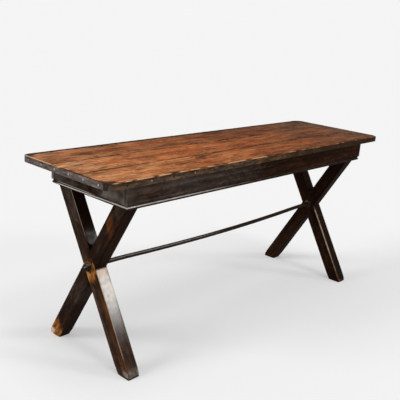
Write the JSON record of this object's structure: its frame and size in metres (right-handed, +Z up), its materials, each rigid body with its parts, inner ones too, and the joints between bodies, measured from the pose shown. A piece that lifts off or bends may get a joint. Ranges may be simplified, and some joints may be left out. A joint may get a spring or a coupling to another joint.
{
  "type": "sawbuck table",
  "caption": "Long narrow plank-topped table with a banded edge and a beaded apron, standing on crossed legs at each end that an iron tie rod draws together.",
  "frame": {"origin": "on the floor, below the middle of the top", "axes": "+X along the length, +Y across the width towards the back, +Z up"},
  "size_m": [1.762, 0.506, 0.76],
  "materials": {
    "top_wood": "worn waxed plank",
    "dark_wood": "dark stained, worn polish",
    "bare_wood": "unfinished, aged",
    "black_iron": "dark forged iron",
    "nail_steel": "rubbed nail heads",
    "hidden_steel": "dull steel"
  },
  "bodies": {
    "root": {"apron_back": "dark_wood", "apron_front": "dark_wood", "apron_left": "dark_wood", "apron_nails": "hidden_steel", "apron_right": "dark_wood", "batten_left": "bare_wood", "batten_right": "bare_wood", "bead_back": "dark_wood", "bead_front": "dark_wood", "bead_left": "dark_wood", "bead_pins": "hidden_steel", "bead_right": "dark_wood", "bearer_nails": "hidden_steel", "edge_band": "black_iron", "edge_nails": "nail_steel", "glue_block_back_1": "bare_wood", "glue_block_back_2": "bare_wood", "glue_block_back_3": "bare_wood", "glue_block_front_1": "bare_wood", "glue_block_front_2": "bare_wood", "glue_block_front_3": "bare_wood", "head_bearer_left": "bare_wood", "head_bearer_right": "bare_wood", "leg_left_back": "dark_wood", "leg_left_front": "dark_wood", "leg_right_back": "dark_wood", "leg_right_front": "dark_wood", "nut_left_inner": "black_iron", "nut_left_outer": "black_iron", "nut_right_inner": "black_iron", "nut_right_outer": "black_iron", "tenon_pegs": "bare_wood", "tie_rod": "black_iron", "top_board_back": "top_wood", "top_board_front": "top_wood", "top_board_middle": "top_wood", "top_screws": "hidden_steel", "washer_left_inner": "black_iron", "washer_left_outer": "black_iron", "washer_right_inner": "black_iron", "washer_right_outer": "black_iron"}
  },
  "joints": []
}
